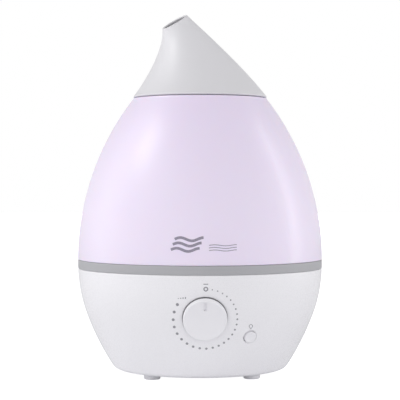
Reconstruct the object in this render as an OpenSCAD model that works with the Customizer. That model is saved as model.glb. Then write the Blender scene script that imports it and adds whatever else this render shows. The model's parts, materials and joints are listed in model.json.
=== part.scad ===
// Cool mist humidifier: a round base with the electronics and the water basin,
// a domed tank that lifts off it, and a bent mist nozzle that turns on top.
// Origin on the centre line at floor level, +Z up, the control knob faces -Y.
// All sizes are in millimetres.

/* [Body] */
// Radius of the body at its widest, where base and tank meet
body_r = 108; // [95:0.5:130]
// Height of the top edge of the white base above the floor
base_top = 93.2; // [92.6:0.1:94.4]
// Height of the grey band between base and tank
band_h = 7.6; // [7:0.1:14]
// Height of the rubber feet
foot_h = 4.8; // [3:0.1:6]
// Radius of the rounded top edge of the base and of the band's neighbours
edge_r = 1.2; // [0.4:0.1:1.6]

/* [Base outline] */
// Radius of the upper arc of the base outline
base_arc_r = 125; // [110:1:160]
// Height of the centre of the upper arc
base_arc_z = 96; // [94.5:0.1:99]
// Angle at which the upper arc hands over to the flatter lower arc
arc_join = 20; // [16:0.5:24]
// Radius of the lower arc of the base outline
base_low_r = 220; // [180:1:260]
// Radius of the corner between the side and the underside
corner_r = 7; // [5:0.5:9]
// Wall thickness of the base shell
base_wall = 2.5; // [1.8:0.1:3]

/* [Basin] */
// Inside radius of the water basin
basin_r = 74; // [71:0.5:78]
// Height of the basin floor
basin_z = 62.5; // [61:0.1:64]
// Wall thickness of the basin moulding
deck_t = 2.5; // [2:0.1:3]
// Thickness of the deck's outer shelf
shelf_t = 3; // [2:0.1:4]

/* [Tank] */
// Height of the seam between tank and nozzle
seam_z = 242.7; // [200:0.5:300]
// Outside radius of the tank at that seam
seam_r = 59; // [54:0.5:72]
// Height of the tank's widest point above the base's top edge
tank_wide = 6.8; // [2:0.1:12]
// Wall thickness of the tank
tank_wall = 2.6; // [1.8:0.1:3.2]
// Thickness of the tank floor plate
floor_t = 2.5; // [2:0.1:3]
// Width of the tank's rim around the recess that takes the nozzle collar
rim_w = 5; // [4:0.1:8]
// Depth of that recess below the seam
recess_d = 8.7; // [8:0.1:12]

/* [Mist path] */
// Inside radius of the mist tube
tube_r = 14; // [10:0.5:14.5]
// Wall thickness of the mist tube
tube_wall = 2; // [1.5:0.1:2.2]
// Outside radius of the mist skirt under the tank floor
skirt_r = 20; // [19:0.1:20.4]
// Height of the lower edge of the mist skirt above the basin floor
skirt_gap = 4.5; // [2:0.1:8]

/* [Nozzle] */
// Direction in which the nozzle leans, counter-clockwise from +X
nozzle_az = 203; // [0:1:360]
// Wall thickness of the nozzle
nozzle_wall = 2; // [1.6:0.1:3]
// How far the nozzle's foot stands in from the tank's edge
nozzle_set = 1.2; // [0:0.1:3]
// Radius of the mouth
mouth_r = 10.4; // [8:0.1:16]
// Distance of the mouth's centre from the centre line
mouth_x = 24.6; // [10:0.1:40]
// Height of the mouth's centre above the seam
mouth_h = 66.7; // [55:0.1:85]
// Angle of the mouth's plane from level
mouth_tilt = 33; // [0:1:50]

/* [Fill cap and valve] */
// Distance of the fill cap from the centre line
cap_x = 44; // [43.6:0.1:46]
// Outside radius of the fill cap
cap_r = 22.5; // [21.5:0.1:22.8]
// Wall thickness of the cap's skirt
cap_wall = 2.5; // [2:0.1:2.8]
// Lead of the cap's thread in one turn
cap_lead = 4.5; // [3:0.1:5]
// Opening stroke of the valve
valve_stroke = 4.7; // [3:0.1:5]
// Radius of the valve stem
stem_r = 2.5; // [2:0.1:3]

/* [Controls] */
// Height of the dial's centre
dial_z = 57.4; // [56:0.1:60]
// Diameter of the control knob
knob_d = 36.3; // [30:0.1:37]
// Height of the knob's rim above the shell
knob_h = 4.2; // [3:0.1:6]
// Depth of the flat seat that the knob turns in
seat_d = 2.2; // [2:0.1:2.6]
// Height of the button's centre
button_z = 40.6; // [38:0.1:43]
// Angle of the button around the base, to the right of the dial
button_az = 23.5; // [22:0.5:40]
// Diameter of the button
button_d = 10.3; // [8:0.1:12]
// Travel of the button
button_stroke = 1.2; // [0.6:0.1:1.4]

/* [Feet and fasteners] */
// Diameter of a foot
foot_d = 14.3; // [10:0.1:15]
// Distance of the feet from the centre line
foot_ring = 60.5; // [56:0.5:61]
// Radius of the small screws' shafts
screw_r = 1.4; // [1:0.1:1.5]
// Distance of the cover screws from the centre line
post_ring = 60.5; // [58:0.5:62]

/* [Fan and transducer] */
// Side of the square fan frame
fan_w = 50; // [48:1:52]
// Height of the fan frame
fan_h = 15; // [12:0.5:16]
// Distance of the fan's centre behind the centre line
fan_y = 30; // [29:0.5:31]
// Number of fan blades
blades = 7; // [5:1:9]
// Radius of the ultrasonic disc
disc_r = 9.9; // [8:0.1:10]

/* [Clearances] */
// Gap between pieces that move past each other
gap = 0.3; // [0.2:0.05:0.5]
// Running clearance of a shaft in its bore
run = 0.05; // [0.02:0.01:0.09]
// Gap around a fixed piece in its pocket
fit = 0.1; // [0.05:0.01:0.2]
// Shadow gap between two outer shells
shadow = 0.4; // [0.3:0.05:0.6]

/* [Hidden] */
$fn = 96;
eps = 0.5;

// --- outline of the base ---------------------------------------------------
arc_x = body_r - base_arc_r;
low_x = arc_x - (base_low_r - base_arc_r) * cos(arc_join);
low_z = base_arc_z + (base_low_r - base_arc_r) * sin(arc_join);
corner_a = asin((low_z - foot_h - corner_r) / (base_low_r - corner_r));
corner_x = low_x + (base_low_r - corner_r) * cos(corner_a);
corner_z = foot_h + corner_r;
join_z = base_arc_z - base_arc_r * sin(arc_join);
top_a = asin((base_arc_z - base_top + edge_r) / base_arc_r);

function slope(z) = z > join_z ? asin((base_arc_z - z) / base_arc_r)
    : asin((low_z - z) / base_low_r);
function base_r(z) = z > join_z ? arc_x + base_arc_r * cos(slope(z))
    : low_x + base_low_r * cos(slope(z));
function arc(cx, cz, r, a0, a1, n) =
    [for (i = [0:n]) let (a = a0 + (a1 - a0) * i / n) [cx + r * cos(a), cz + r * sin(a)]];

// Points of the base's side, moved inwards by t, from top to bottom
function base_side(t) = concat(
    arc(arc_x, base_arc_z, base_arc_r - t, -top_a, -arc_join, 14),
    arc(low_x, low_z, base_low_r - t, -arc_join - 1, -corner_a, 12),
    arc(corner_x, corner_z, corner_r - t, -corner_a - 8, -90, 7));

// --- levels ----------------------------------------------------------------
cover_t = 3;
cover_z = foot_h + cover_t;
lip_t = 2.5;
lip_z = cover_z + lip_t;
cover_r = foot_ring + foot_d / 2 + 1.6;
lip_r = 66;
shelf_z = base_top - shelf_t;
gasket_t = 0.8;
ledge_z = shelf_z - gasket_t;
ledge_t = 2.5;
ledge_r = body_r - 9.5;
shelf_r = body_r - base_wall - 2 * fit;
deck_z = basin_z - deck_t;
band_t = 2.6;
band_top = base_top + band_h;
flange_t = 2;
flange_r = body_r - 10;
tank_z = band_top + shadow;
spigot_z = base_top + flange_t + gap;
spigot_r = body_r - band_t - gap;
spigot_t = 2.5;
floor_z = spigot_z + 0.5;
floor_r = spigot_r - spigot_t - fit;

// --- outline of the tank: one arc, level at its widest point ----------------
tank_arc_z = base_top + tank_wide;
tank_drop = body_r - seam_r;
tank_arc_r = (pow(seam_z - tank_arc_z, 2) + pow(tank_drop, 2)) / (2 * tank_drop);
recess_r = seam_r - rim_w;

// --- mist path -------------------------------------------------------------
plate_t = 2.5;
plate_z = seam_z - recess_d;
tube_out = tube_r + tube_wall;
socket_r = tube_out + 2 * fit;
socket_t = 2.5;
socket_h = 8;
seal_t = 2.5;
skirt_t = 2;
skirt_z = basin_z + skirt_gap;

// --- fill cap and valve ----------------------------------------------------
neck_z = floor_z - 12;
neck_r = cap_r - cap_wall - 2 * gap;
neck_t = 2.6;
cap_seal_t = 2.2;
cap_floor_t = 2.5;
cap_floor_z = neck_z - gap - cap_seal_t;
cap_z = cap_floor_z - cap_floor_t;
cap_top = floor_z - 1.5;
seat_r = 6;
seat_t = 1.5;
seat_z = cap_floor_z + 2;
washer_t = 2;
washer_z = seat_z + valve_stroke + 2 * gap;
button_low_t = 2;
plunger_z = cap_z - 8.7;
hub_r = 4;

// --- float -----------------------------------------------------------------
float_y = 52;
float_post_r = 3.5;
reed_bore = float_post_r - 1.3;
float_h = 12;
float_z = basin_z + eps;
float_r = 12;
float_stroke = 9;
float_stop = float_z + float_h + float_stroke + 2;
magnet_h = 3.2;

// --- fan -------------------------------------------------------------------
fan_boss = 3;
fan_z = cover_z + fan_boss;
fan_top = fan_z + fan_h;
fan_bore = fan_w / 2 - 1.5;
fan_pitch = fan_w / 2 - 5;
hub_fan_r = 11;
pin_r = 3;
strut_t = 2;
duct_flange = 2;
hood_z = fan_top + duct_flange;
hood_h = 10;
hood_r = fan_w / 2;
duct_w = 20;
duct_d = 11;
duct_wall = 1.5;
duct_y = fan_y + 15;
chimney_top = basin_z + 25.5;

// --- transducer ------------------------------------------------------------
well_r = 8.5;
pocket_r = disc_r + 2.1;
boss_r = pocket_r + 6.5;
boss_h = 5;
boss_z = deck_z - boss_h;
clamp_t = 2;
clamp_z = boss_z - clamp_t;
clamp_ring = pocket_r + 3.2;
disc_t = 1.1;
disc_z = boss_z + 2;

// --- driver board ----------------------------------------------------------
board_x = -50;
board_y = -42;
board_w = 40;
board_l = 44;
board_t = 1.6;
board_z = 30;
board_in = 4;
board_top = board_z + board_t;

// --- controls --------------------------------------------------------------
knob_r = knob_d / 2;
seat_gap = 0.85;
seat_floor = 2.2;
shaft_r = 3;
bushing_r = 4;
pot_r = 8.2;
pot_h = 9;
pot_z = -seat_d - seat_floor;
control_z = pot_z - pot_h;
button_r = button_d / 2;
button_top = 0.8;
button_flange = 3.1;
flange_h = 1.5;
button_stem = 3;
switch_z = -button_flange - flange_h - button_stem - button_stroke;
switch_h = 3.5;
switch_w = 6;
light_board_z = switch_z - switch_h;
light_corners = [for (i = [-7.6, 7.6]) for (j = [-6.4, 6.4]) [i, j]];

// --- power inlet -----------------------------------------------------------
jack_z = 30;
jack_pocket_r = 7.5;
jack_face = base_r(jack_z) - 10;
jack_wall = 2.5;
jack_tail = jack_wall + 11;
jack_r = 4;
socket_bore = 2.85;

// --- night light under the tank ---------------------------------------------
lens_r = 5;
lens_flange = 1.2;
lens_az = 55;
light_x = (basin_r + deck_t + flange_r) / 2;

foot_angles = [45, 135, 225, 315];
post_angles = [20, 160, 200, 340];
board_corners = [for (i = [0, 1]) for (j = [0, 1])
    [board_x + board_in + i * (board_w - 2 * board_in),
        board_y + board_in + j * (board_l - 2 * board_in)]];
fan_corners = [for (i = [-1, 1]) for (j = [-1, 1]) [i * fan_pitch, fan_y + j * fan_pitch]];

// --- helpers ---------------------------------------------------------------
module disc(r, z0, z1) {
    translate([0, 0, z0]) cylinder(r = r, h = z1 - z0);
}

module ring(r0, r1, z0, z1) {
    difference() {
        disc(r1, z0, z1);
        disc(r0, z0 - 1, z1 + 1);
    }
}

module block(w, d, z0, z1) {
    translate([-w / 2, -d / 2, z0]) cube([w, d, z1 - z0]);
}

// A pan head from z = 0 upwards with its shaft below
module screw(length, head_r = 2.7, head_h = 1.6) {
    disc(head_r, 0, head_h);
    disc(screw_r, -length, 0);
}

// Local frame on the shell: x to the right, y up the slope, z straight out
module on_shell(az, z) {
    rotate([0, 0, az]) translate([0, -base_r(z), z]) rotate([90 + slope(z), 0, 0]) children();
}

module on_dial() {
    on_shell(0, dial_z) children();
}

module on_button() {
    on_shell(button_az, button_z) children();
}

module at_post() {
    for (a = post_angles) rotate([0, 0, a]) translate([post_ring, 0, 0]) children();
}

module at_points(points) {
    for (p = points) translate([p[0], p[1], 0]) children();
}

module base_solid(t, top) {
    rotate_extrude() polygon(concat([[0, foot_h + t], [0, top]],
        [[body_r - t - (t > 0 ? 0 : edge_r), top]],
        t > 0 ? [] : arc(body_r - edge_r, top - edge_r, edge_r, 68, 22, 2),
        base_side(t)));
}

// Round tube swept along a list of points that never runs straight up
function unit(v) = v / norm(v);
function turn_at(p, i) = unit(p[min(i + 1, len(p) - 1)] - p[max(i - 1, 0)]);
function tube_rings(p, r, n) = [for (i = [0:len(p) - 1])
    let (t = turn_at(p, i), s = unit(cross(t, [0, 0, 1])), u = cross(s, t))
    for (k = [0:n - 1]) p[i] + r * (cos(360 * k / n) * s + sin(360 * k / n) * u)];
function band_faces(rows, n) = [for (i = [0:rows - 2]) for (k = [0:n - 1])
    [i * n + k, i * n + (k + 1) % n, (i + 1) * n + (k + 1) % n, (i + 1) * n + k]];

module tube(p, r, n = 8) {
    polyhedron(points = tube_rings(p, r, n), convexity = 6,
        faces = concat(band_faces(len(p), n),
            [[for (k = [0:n - 1]) n - 1 - k]],
            [[for (k = [0:n - 1]) (len(p) - 1) * n + k]]));
}

// A smooth path through hand-placed points
function spline(p, i, t) =
    let (a = p[max(i - 1, 0)], b = p[i], c = p[i + 1], d = p[min(i + 2, len(p) - 1)])
    0.5 * (2 * b + (c - a) * t + (2 * a - 5 * b + 4 * c - d) * t * t
        + (3 * b - a - 3 * c + d) * t * t * t);
function smooth_path(p, steps) = concat(
    [for (i = [0:len(p) - 2]) for (k = [0:steps - 1]) spline(p, i, k / steps)],
    [p[len(p) - 1]]);

// --- base ------------------------------------------------------------------
module base_shell() {
    color("#f0f0f3") difference() {
        intersection() {
            base_solid(0, base_top);
            union() {
                difference() {
                    base_solid(0, base_top);
                    base_solid(base_wall, base_top + 1);
                    disc(cover_r + fit, 0, lip_z);
                }
                ring(cover_r + fit, corner_x + 2, foot_h, lip_z);
                ring(lip_r, corner_x + 8, cover_z, lip_z);
                ring(ledge_r, body_r, ledge_z - ledge_t, ledge_z);
                at_post() disc(6, cover_z, lip_z);
                at_post() translate([6, 0, 0]) block(12, 12, cover_z, lip_z);
                on_dial() disc(knob_r + seat_gap + 2, -seat_d - seat_floor, 0);
                on_button() at_points(light_corners) disc(1.6, light_board_z, 0);
                translate([0, jack_face - jack_wall, jack_z]) rotate([-90, 0, 0])
                    cylinder(r = jack_pocket_r + 2, h = 40);
            }
        }
        on_dial() disc(knob_r + seat_gap, -seat_d, 20);
        on_dial() disc(bushing_r + fit, -20, 1);
        on_button() disc(button_r + gap, -20, 20);
        at_post() disc(screw_r + 3 * fit, 0, 20);
        translate([0, jack_face, jack_z]) rotate([-90, 0, 0]) cylinder(r = jack_pocket_r, h = 40);
        translate([0, jack_face - 10, jack_z]) rotate([-90, 0, 0]) cylinder(r = jack_r + fit, h = 20);
    }
}

module trim_ring() {
    color("#a0a0a3") rotate_extrude() polygon([
        [flange_r, base_top], [body_r - 0.6, base_top], [body_r, base_top + 0.6],
        [body_r, band_top - 0.6], [body_r - 0.6, band_top], [body_r - band_t, band_top],
        [body_r - band_t, base_top + flange_t], [flange_r, base_top + flange_t]]);
}

// The deck's shelf and the wall of the basin
module deck_rim() {
    color("#e9e9ec") difference() {
        union() {
            ring(basin_r, shelf_r, shelf_z, base_top);
            ring(basin_r, basin_r + deck_t, deck_z, base_top);
        }
        rotate([0, 0, lens_az]) translate([0, -light_x, 0]) disc(lens_r + fit, shelf_z - 1, base_top + 1);
    }
}

// The basin's floor with its screw posts and the transducer's pocket
module basin_floor() {
    color("#e9e9ec") difference() {
        union() {
            disc(basin_r, deck_z, basin_z);
            disc(boss_r, boss_z, deck_z);
            at_post() disc(4, lip_z, deck_z);
        }
        disc(well_r, boss_z - 1, basin_z + 1);
        disc(pocket_r, boss_z - 1, deck_z);
        for (a = [30, 150, 270]) rotate([0, 0, a]) translate([clamp_ring, 0, 0])
            disc(screw_r + fit, boss_z - 1, boss_z + 4.5);
        translate([0, duct_y, 0]) block(duct_w, duct_d, deck_z - 1, basin_z + 1);
        at_post() disc(screw_r + fit, lip_z - 1, lip_z + 12);
        translate([0, -float_y, 0]) disc(reed_bore, deck_z - 1, basin_z + 1);
    }
}

// The post that opens the tank's valve, and the hollow post that the float slides on
module basin_posts() {
    color("#e9e9ec") {
        translate([cap_x, 0, 0]) disc(hub_r, basin_z, plunger_z - gap);
        for (a = [0, 120, 240]) translate([cap_x, 0, 0]) rotate([0, 0, a])
            translate([4, 0, 0]) block(8, 1.6, basin_z, basin_z + 3);
        translate([0, -float_y, 0]) difference() {
            union() {
                disc(float_post_r, basin_z, float_stop);
                disc(float_post_r - 1, basin_z, float_stop + 2.5);
            }
            disc(reed_bore, basin_z - 1, float_stop - 3);
        }
    }
}

// The chimney that carries the fan's air up past the water
module air_chimney() {
    color("#e9e9ec") translate([0, duct_y, 0]) difference() {
        block(duct_w + 2 * deck_t, duct_d + 2 * deck_t, basin_z, chimney_top);
        block(duct_w, duct_d, basin_z - 1, chimney_top + 1);
    }
}

module deck_gasket() {
    color("#3a3a3c") ring(ledge_r + 1, shelf_r - 2, ledge_z, shelf_z);
}

module bottom_cover() {
    color("#dcdce0") difference() {
        union() {
            disc(cover_r, foot_h, cover_z);
            at_points(fan_corners) disc(3.5, cover_z, fan_z);
            at_points(board_corners) disc(3, cover_z, board_z);
        }
        at_post() disc(screw_r + 3 * fit, 0, 20);
        at_post() disc(3, 0, foot_h + 1.8);
        for (a = foot_angles) rotate([0, 0, a]) translate([foot_ring, 0, 0]) disc(3 + fit, 0, foot_h + 2);
        for (i = [-4:4]) translate([4 * i, fan_y, 0])
            block(2, 2 * sqrt(pow(19, 2) - pow(4 * i, 2)), 0, cover_z + 1);
        at_points(fan_corners) disc(screw_r + fit, foot_h + 1, 20);
        at_points(board_corners) disc(screw_r + fit, board_z - 10, board_z + 1);
    }
}

module foot(i) {
    color("#c8c8cb") rotate([0, 0, foot_angles[i]]) translate([foot_ring, 0, 0]) {
        rotate_extrude() polygon(concat([[0, 0]],
            arc(foot_d / 2 - 1, 1, 1, -90, 0, 4),
            [[foot_d / 2, foot_h], [3, foot_h], [3, foot_h + 1.8], [0, foot_h + 1.8]]));
    }
}

module foot_1() { foot(0); }
module foot_2() { foot(1); }
module foot_3() { foot(2); }
module foot_4() { foot(3); }

module cover_screws() {
    color("#8d8f94") at_post() translate([0, 0, foot_h + 1.8]) rotate([180, 0, 0]) screw(14);
}

module dust_filter() {
    color("#4b4d50") translate([0, fan_y, 0]) disc(21, cover_z, fan_z - fit);
}

module fan_housing() {
    color("#2b2c2e") translate([0, fan_y, 0]) {
        difference() {
            block(fan_w, fan_w, fan_z, fan_top);
            disc(fan_bore, fan_z - 1, fan_top + 1);
            translate([0, -fan_y, 0]) at_points(fan_corners) disc(screw_r + 2 * fit, fan_z - 1, fan_top + 1);
        }
        disc(hub_fan_r, fan_z, fan_z + strut_t);
        disc(pin_r, fan_z, fan_top - 3.8);
        for (a = [0, 90, 180, 270]) rotate([0, 0, a + 20])
            translate([(hub_fan_r + fan_bore) / 2, 0, 0])
                block(fan_bore - hub_fan_r + 2, 3, fan_z, fan_z + strut_t);
    }
}

module fan_screws() {
    color("#8d8f94") at_points(fan_corners) translate([0, 0, hood_z]) screw(hood_z - foot_h - 1.5);
}

module air_duct() {
    color("#b9bbc0") difference() {
        union() {
            translate([0, fan_y, 0]) block(fan_w, fan_w, fan_top, hood_z);
            translate([0, fan_y, 0]) disc(hood_r, hood_z, hood_z + hood_h);
            translate([0, duct_y, 0]) block(duct_w + 2 * duct_wall, duct_d + 2 * duct_wall, hood_z, deck_z);
        }
        translate([0, fan_y, 0]) disc(fan_bore, fan_top - 1, hood_z + hood_h - duct_wall);
        translate([0, duct_y, 0]) block(duct_w, duct_d, fan_top - 1, deck_z + 1);
        at_points(fan_corners) disc(screw_r + 2 * fit, fan_top - 1, hood_z + 1);
    }
}

module transducer_disc() {
    color("#c9b37a") disc(disc_r, disc_z, disc_z + disc_t);
}

module transducer_seal() {
    color("#2f3032") difference() {
        ring(well_r, pocket_r - fit, boss_z, deck_z);
        disc(disc_r, disc_z, disc_z + disc_t);
    }
}

module transducer_clamp() {
    color("#b8bbc0") difference() {
        ring(well_r, boss_r - 0.5, clamp_z, boss_z);
        for (a = [30, 150, 270]) rotate([0, 0, a]) translate([clamp_ring, 0, 0])
            disc(screw_r + 2 * fit, clamp_z - 1, boss_z + 1);
    }
}

module transducer_screws() {
    color("#8d8f94") for (a = [30, 150, 270]) rotate([0, 0, a]) translate([clamp_ring, 0, clamp_z])
        rotate([180, 0, 0]) screw(clamp_t + 4, head_r = 2.4, head_h = 1.4);
}

module driver_board() {
    color("#2f6b45") difference() {
        translate([board_x, board_y, board_z]) cube([board_w, board_l, board_t]);
        at_points(board_corners) disc(screw_r + 2 * fit, board_z - 1, board_top + 1);
    }
}

module board_screws() {
    color("#8d8f94") at_points(board_corners) translate([0, 0, board_top]) screw(9);
}

module heat_sink() {
    color("#9fa3a8") translate([board_x + 3, board_y + 10, board_top]) {
        cube([3, 24, 14]);
        for (i = [0:4]) translate([0, 5 * i + 1, 0]) cube([11, 2, 14]);
    }
}

module capacitors() {
    color("#3b4a63") translate([board_x, board_y, board_top]) {
        translate([22, 34, 0]) disc(5, 0, 16);
        translate([33, 30, 0]) disc(4, 0, 12);
        translate([22, 22, 0]) disc(4, 0, 12);
    }
}

module inductor() {
    color("#8a6a3c") translate([board_x + 30, board_y + 16, board_top]) {
        disc(6, 0, 2);
        disc(4, 2, 8);
        disc(6, 8, 10);
    }
}

// --- controls fixed to the base --------------------------------------------
module control_board() {
    color("#2f6b45") on_dial() block(34, 30, control_z - board_t, control_z);
}

module potentiometer() {
    color("#6d7076") on_dial() difference() {
        union() {
            disc(pot_r, control_z, pot_z);
            disc(bushing_r, pot_z, -fit);
        }
        disc(shaft_r + run, control_z + 4, 1);
    }
}

module pot_nut() {
    color("#b8bbc0") on_dial() difference() {
        translate([0, 0, -seat_d]) cylinder(r = 6, h = 1.7, $fn = 6);
        disc(bushing_r + 0.02, -seat_d - 1, 1);
    }
}

module light_board() {
    color("#2f6b45") on_button() block(18, 16, light_board_z - board_t, light_board_z);
}

module tact_switch() {
    color("#2b2c2e") on_button() difference() {
        block(switch_w, switch_w, switch_z - switch_h, switch_z);
        disc(1.6 + fit, switch_z - switch_h + 1, switch_z + 1);
    }
}

module light_lens() {
    color("#f4f1ea") rotate([0, 0, lens_az]) translate([0, -light_x, 0]) {
        difference() {
            union() {
                disc(lens_r, shelf_z, base_top);
                disc(lens_r + 1.5, shelf_z - lens_flange, shelf_z);
            }
            disc(3.4, shelf_z - lens_flange - 1, base_top - 1);
        }
    }
}

module night_led() {
    color("#ffe9b0") rotate([0, 0, lens_az]) translate([0, -light_x, 0]) {
        block(12, 12, shelf_z - lens_flange - 1.4, shelf_z - lens_flange);
        disc(2.5, shelf_z - lens_flange, base_top - 2);
    }
}

module along_jack() {
    translate([0, jack_face, jack_z]) rotate([-90, 0, 0]) children();
}

module power_jack() {
    color("#232426") along_jack() {
        difference() {
            union() {
                disc(jack_r, -jack_wall, 2.5);
                disc(6, -jack_tail, -jack_wall);
            }
            disc(socket_bore, -9.5, 3);
        }
        disc(1, -10, 1.5);
    }
}

module jack_nut() {
    color("#b8bbc0") along_jack() ring(jack_r + 0.02, 5.8, 0, 1.8);
}

module reed_switch() {
    color("#9bb0a6") translate([0, -float_y, 0]) disc(reed_bore - fit, deck_z, float_stop - 5);
}

module float_clip() {
    color("#d8d8dc") translate([0, -float_y, 0]) ring(float_post_r - 1, 6.5, float_stop, float_stop + 1.2);
}

// Wires: their hand-placed routes run over the driver board's level
dial_back = control_z - board_t - 1;
power_route = [[0, jack_face - jack_tail, jack_z], [0, jack_face - jack_tail - 1.5, jack_z],
    [0, jack_face - jack_tail - 3, jack_z], [-8, jack_face - 21, 33], [-24, 60, 38],
    [-36, 44, 40], [-38, 22, 40], [-32, 8, 37], [board_x + 22, board_y + board_l - 2, board_top + 1.6]];
transducer_route = [[0, -4, disc_z - 1], [-1, -8, 49], [-5, -18, 43], [-9, -27, 37],
    [board_x + board_w - 4, board_y + 9, board_top + 1]];
dial_route = [[-12, -base_r(dial_z) - dial_back * cos(slope(dial_z)), dial_z - dial_back * sin(slope(dial_z))],
    [-17, -79, 50], [-24, -68, 42], [-27, -54, 39], [board_x + 22, board_y + 3, board_top + 1]];

module wire_power() {
    color("#1e1f21") tube(smooth_path(power_route, 5), 1.5);
}

module wire_transducer() {
    color("#b03a34") tube(smooth_path(transducer_route, 5), 0.9);
}

module wire_dial() {
    color("#d9c24a") tube(smooth_path(dial_route, 5), 0.9);
}

// --- moving pieces of the base -----------------------------------------------
module fan_rotor() {
    rotor_z = fan_z + strut_t + gap;
    rotor_top = fan_top - 1.2;
    color("#3d3f42") translate([0, fan_y, 0]) difference() {
        union() {
            disc(hub_fan_r, rotor_z, rotor_top);
            intersection() {
                disc(fan_bore - 0.7, rotor_z, rotor_top);
                for (i = [0:blades - 1]) rotate([0, 0, 360 * i / blades])
                    translate([hub_fan_r - 1, 0, (rotor_z + rotor_top) / 2]) rotate([38, 0, 0])
                        translate([0, -8, -0.6]) cube([fan_bore, 16, 1.2]);
            }
        }
        disc(pin_r + run, rotor_z - 1, fan_top - 3.5);
    }
}

module float_ring() {
    color("#e8e4d8") translate([0, -float_y, 0]) difference() {
        disc(float_r, float_z, float_z + float_h);
        disc(float_post_r + 0.5, float_z - 1, float_z + float_h + 1);
        disc(7, float_z - 1, float_z + magnet_h + fit);
    }
}

module float_magnet() {
    color("#4a4b4e") translate([0, -float_y, 0])
        ring(float_post_r + 0.8, 7 - fit, float_z + fit, float_z + fit + magnet_h);
}

knob_back = -seat_d + gap;
dish_r = 260;
module knob() {
    color("#f3f3f5") on_dial() difference() {
        rotate_extrude() polygon(concat([[0, knob_back], [knob_r, knob_back]],
            arc(knob_r - 0.9, knob_h - 0.9, 0.9, 0, 90, 5),
            [for (i = [6:-1:0]) let (x = (knob_r - 1.6) * i / 6)
                [x, knob_h - 0.05 + (x * x - pow(knob_r - 1.6, 2)) / (2 * dish_r)]]));
        difference() {
            disc(knob_r - 1.9, knob_back - 1, knob_h - 2);
            disc(5, gap, knob_h);
        }
        disc(shaft_r + 0.02, knob_back - 1, knob_h - 1.4);
        translate([0, 0.585 * knob_r, 0]) block(2.3, 0.39 * knob_r, knob_h - 0.9, knob_h + 1);
    }
}

module pot_shaft() {
    color("#b8bbc0") on_dial() disc(shaft_r, control_z + 4.2, knob_h - 1.5);
}

module light_button() {
    color("#f3f3f5") on_button() {
        rotate_extrude() polygon(concat([[0, -button_flange - flange_h],
            [button_r + 1.4, -button_flange - flange_h], [button_r + 1.4, -button_flange],
            [button_r, -button_flange]],
            arc(button_r - 0.6, button_top - 0.6, 0.6, 0, 90, 4),
            [for (i = [4:-1:0]) let (x = (button_r - 1) * i / 4)
                [x, button_top - 0.5 * (1 - pow(x / (button_r - 1), 2))]]));
        disc(1.6, switch_z + button_stroke, -button_flange - flange_h);
    }
}

module switch_plunger() {
    color("#d8d8dc") on_button() disc(1.5, switch_z - 0.8, switch_z + button_stroke);
}

// --- tank --------------------------------------------------------------------
function tank_side(t, z) = body_r - tank_arc_r + sqrt(pow(tank_arc_r - t, 2) - pow(z - tank_arc_z, 2));
function tank_arc(t, z0, z1, n) = [for (i = [0:n]) let (z = z0 + (z1 - z0) * i / n) [tank_side(t, z), z]];

module tank_shell() {
    inner_top = plate_z + 2;
    color("#dcd2e6") rotate_extrude() polygon(concat(
        [[spigot_r - spigot_t, spigot_z], [spigot_r, spigot_z], [spigot_r, tank_z]],
        [[body_r - 0.9, tank_z], [tank_side(0, tank_z + 0.8), tank_z + 0.8]],
        tank_arc(0, tank_z + 4, seam_z - 0.8, 30),
        [[tank_side(0, seam_z) - 0.6, seam_z], [recess_r, seam_z], [recess_r, plate_z]],
        [[socket_r, plate_z], [socket_r, plate_z - plate_t - socket_h]],
        [[socket_r + socket_t, plate_z - plate_t - socket_h], [socket_r + socket_t, plate_z - plate_t]],
        [[recess_r + 2.6, plate_z - plate_t], [recess_r + 2.6, inner_top]],
        tank_arc(tank_wall, inner_top, tank_z + 2.3, 30),
        [[spigot_r - spigot_t, tank_z + 1.2]]));
}

module tank_floor() {
    color("#d6cce0") difference() {
        union() {
            disc(floor_r, floor_z, floor_z + floor_t);
            disc(socket_r + socket_t, floor_z + floor_t, floor_z + floor_t + socket_h);
            ring(skirt_r - skirt_t, skirt_r, skirt_z, floor_z);
            translate([cap_x, 0, 0]) disc(neck_r, neck_z, floor_z);
        }
        disc(tube_r, floor_z - 1, floor_z + floor_t + 1);
        disc(socket_r, floor_z + floor_t, floor_z + floor_t + socket_h + 1);
        translate([cap_x, 0, 0]) disc(neck_r - neck_t, neck_z - 1, floor_z + floor_t + 1);
        for (a = [45, 135]) rotate([0, 0, a]) block(3 * skirt_r, 10, skirt_z - 1, skirt_z + 12);
    }
}

module mist_tube() {
    color("#e4dcec") ring(tube_r, tube_out, floor_z + floor_t, plate_z + 2);
}

module tube_seal_low() {
    color("#8f8f94") ring(tube_out, socket_r + socket_t, floor_z + floor_t + socket_h,
        floor_z + floor_t + socket_h + seal_t);
}

module tube_seal_top() {
    color("#8f8f94") ring(tube_out, socket_r + socket_t,
        plate_z - plate_t - socket_h - seal_t, plate_z - plate_t - socket_h);
}

handle_x = 46;
handle_l = 56;
grip_r = 5;
grip_z = basin_z + 12.5;
module tank_handle() {
    color("#d6cce0") translate([-handle_x, 0, 0]) {
        translate([0, handle_l / 2, grip_z]) rotate([90, 0, 0]) cylinder(r = grip_r, h = handle_l);
        for (s = [-1, 1]) translate([0, s * handle_l / 2, 0]) {
            disc(grip_r, grip_z - grip_r, floor_z);
            disc(grip_r + 3, floor_z - 2, floor_z);
        }
    }
}

// --- valve and cap -------------------------------------------------------------
module at_cap() {
    translate([cap_x, 0, 0]) children();
}

module valve_plunger() {
    color("#f0f0f3") at_cap() {
        disc(stem_r, plunger_z, washer_z + washer_t);
        disc(hub_r + 0.5, plunger_z, plunger_z + button_low_t);
        disc(hub_r + 0.5, washer_z + washer_t, washer_z + washer_t + 1.5);
    }
}

module valve_washer() {
    color("#3a3a3c") at_cap() ring(stem_r, seat_r + 2.5, washer_z, washer_z + washer_t);
}

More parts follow.
